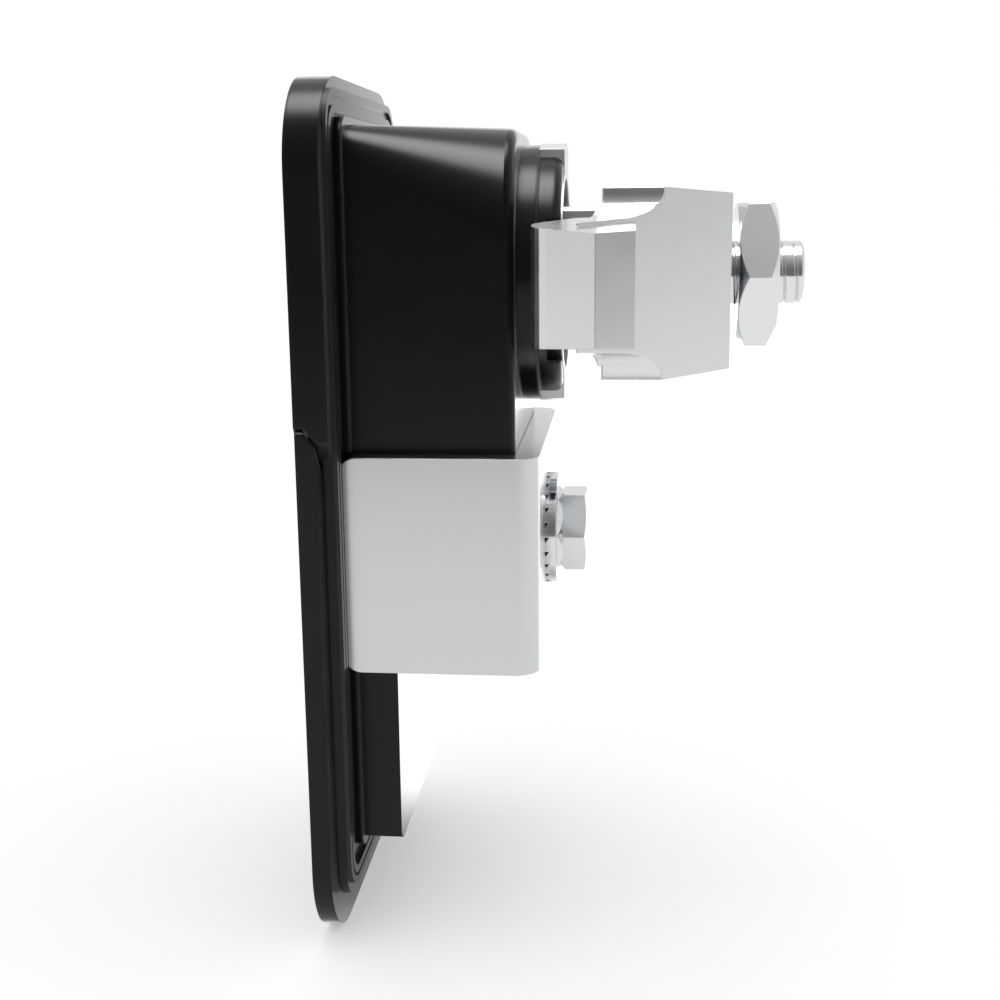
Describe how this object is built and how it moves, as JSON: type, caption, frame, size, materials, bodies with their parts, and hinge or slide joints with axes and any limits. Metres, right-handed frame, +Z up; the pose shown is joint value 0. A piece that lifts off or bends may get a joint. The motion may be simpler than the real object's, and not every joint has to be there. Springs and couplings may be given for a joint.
{
  "type": "lift and turn compression latch",
  "caption": "Panel door latch with a lift and turn handle, a sliding spindle, a hooked cam and a side clamp bracket.",
  "frame": {"origin": "on the spindle axis, in the plane of the flange's rear face, which seats on the panel", "axes": "+X across the latch towards the closed cam's nose, +Y into the cabinet along the spindle, +Z up"},
  "size_m": [0.0588, 0.0621, 0.1066],
  "materials": {
    "black_plastic": "moulded, satin gloss",
    "rubber": "matt moulded rubber",
    "bracket_steel": "zinc plated sheet, fine grain",
    "cast_zinc": "satin plated casting",
    "plated_steel": "zinc plated, machined",
    "spring_steel": "rolled, lightly oiled",
    "bronze": "turned"
  },
  "bodies": {
    "mounting": {"housing": "black_plastic", "gasket": "rubber", "rotor_bush": "bronze", "keeper_plate": "plated_steel", "bracket": "bracket_steel", "clamp_screw": "plated_steel", "screw_insert": "bronze", "handle_buffer": "rubber"},
    "turning": {"rotor": "black_plastic", "rotor_seal": "rubber", "rotor_ring": "spring_steel", "thrust_washer": "spring_steel", "stop_pin": "plated_steel", "handle_pin": "plated_steel"},
    "lever": {"handle": "black_plastic"},
    "slider": {"spindle": "cast_zinc", "lift_pin": "plated_steel", "stud": "plated_steel", "cam": "cast_zinc", "cam_nut": "plated_steel"}
  },
  "joints": [
    {"name": "handle_turn", "type": "hinge", "parent": "mounting", "child": "turning", "pos_m": [0, 0, 0], "axis": [0, -1, 0], "range_deg": [0, 90]},
    {"name": "handle_lift", "type": "hinge", "parent": "turning", "child": "lever", "pos_m": [0, -0.0022, -0.0074], "axis": [-1, 0, 0], "range_deg": [0, 45]},
    {"name": "spindle_slide", "type": "slide", "parent": "turning", "child": "slider", "axis": [0, 1, 0], "range_m": [0, 0.00501]}
  ],
  "couplings": [
    {"joint": "spindle_slide", "follows": "handle_lift", "m_per_rad": 0.0063662}
  ]
}
